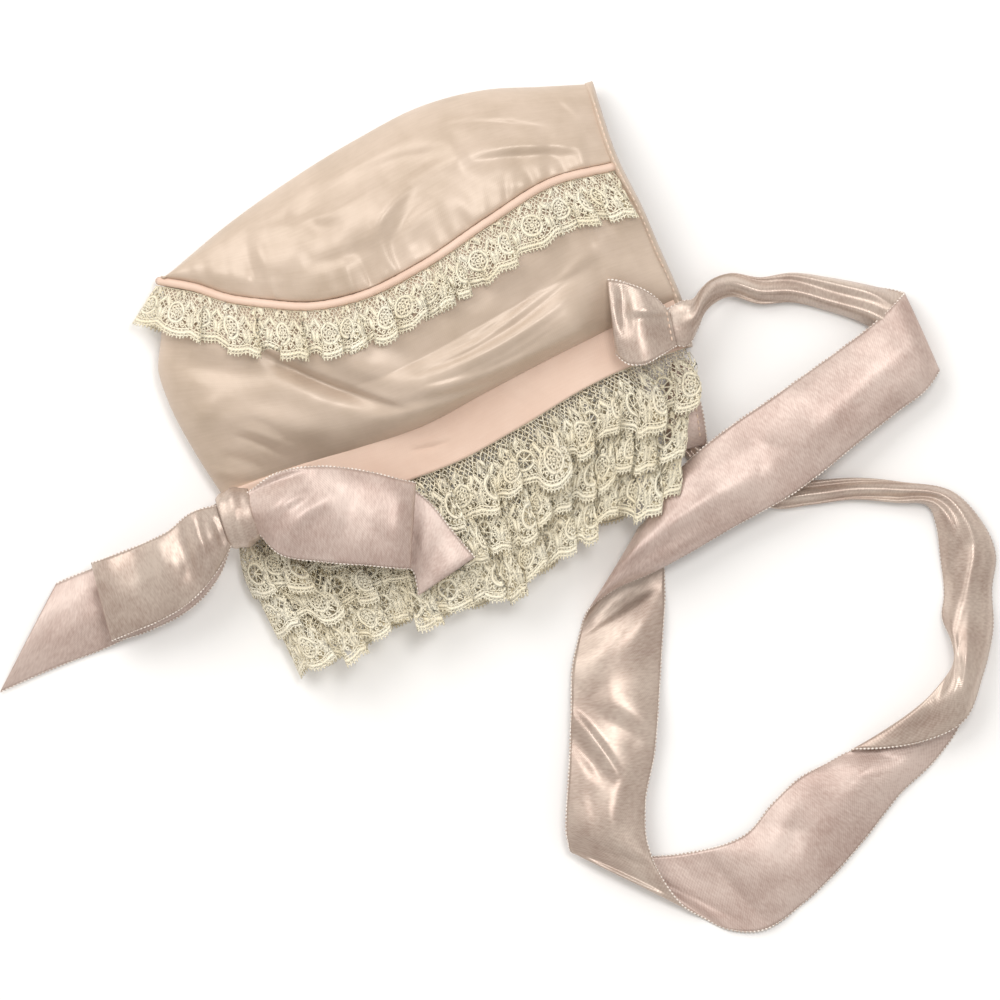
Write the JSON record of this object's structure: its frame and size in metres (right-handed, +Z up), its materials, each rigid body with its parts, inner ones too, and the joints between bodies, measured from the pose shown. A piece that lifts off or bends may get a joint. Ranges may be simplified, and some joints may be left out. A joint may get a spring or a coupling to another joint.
{
  "type": "baby bonnet",
  "caption": "Silk baby bonnet with piped crown, gathered lace face ruffle, ribbon bow and ribbon chin strap, folded flat and lying on its side.",
  "frame": {"origin": "middle of the bounding box, on the surface that the bonnet lies on", "axes": "+X to the right of the bonnet as it lies, towards the chin strap; +Y towards the centre back fold of the crown; +Z up from the surface"},
  "size_m": [0.3086, 0.264, 0.0325],
  "materials": {
    "panel_silk": "soft satin silk",
    "trim_silk": "matte silk",
    "lace": "open cotton lace",
    "satin_ribbon": "glossy satin"
  },
  "bodies": {
    "root": {"crown_panel": "panel_silk", "side_panel": "panel_silk", "crown_piping": "trim_silk", "face_band": "trim_silk", "nape_binding": "trim_silk", "crown_lace": "lace", "face_lace_1": "lace", "face_lace_2": "lace", "face_lace_3": "lace", "bow_knot": "satin_ribbon", "bow_loop_right": "satin_ribbon", "bow_loop_left": "satin_ribbon", "bow_tail_right": "satin_ribbon", "bow_tail_left": "satin_ribbon", "chin_loop": "satin_ribbon", "chin_loop_hidden": "satin_ribbon", "chin_ribbon": "satin_ribbon"}
  },
  "joints": []
}
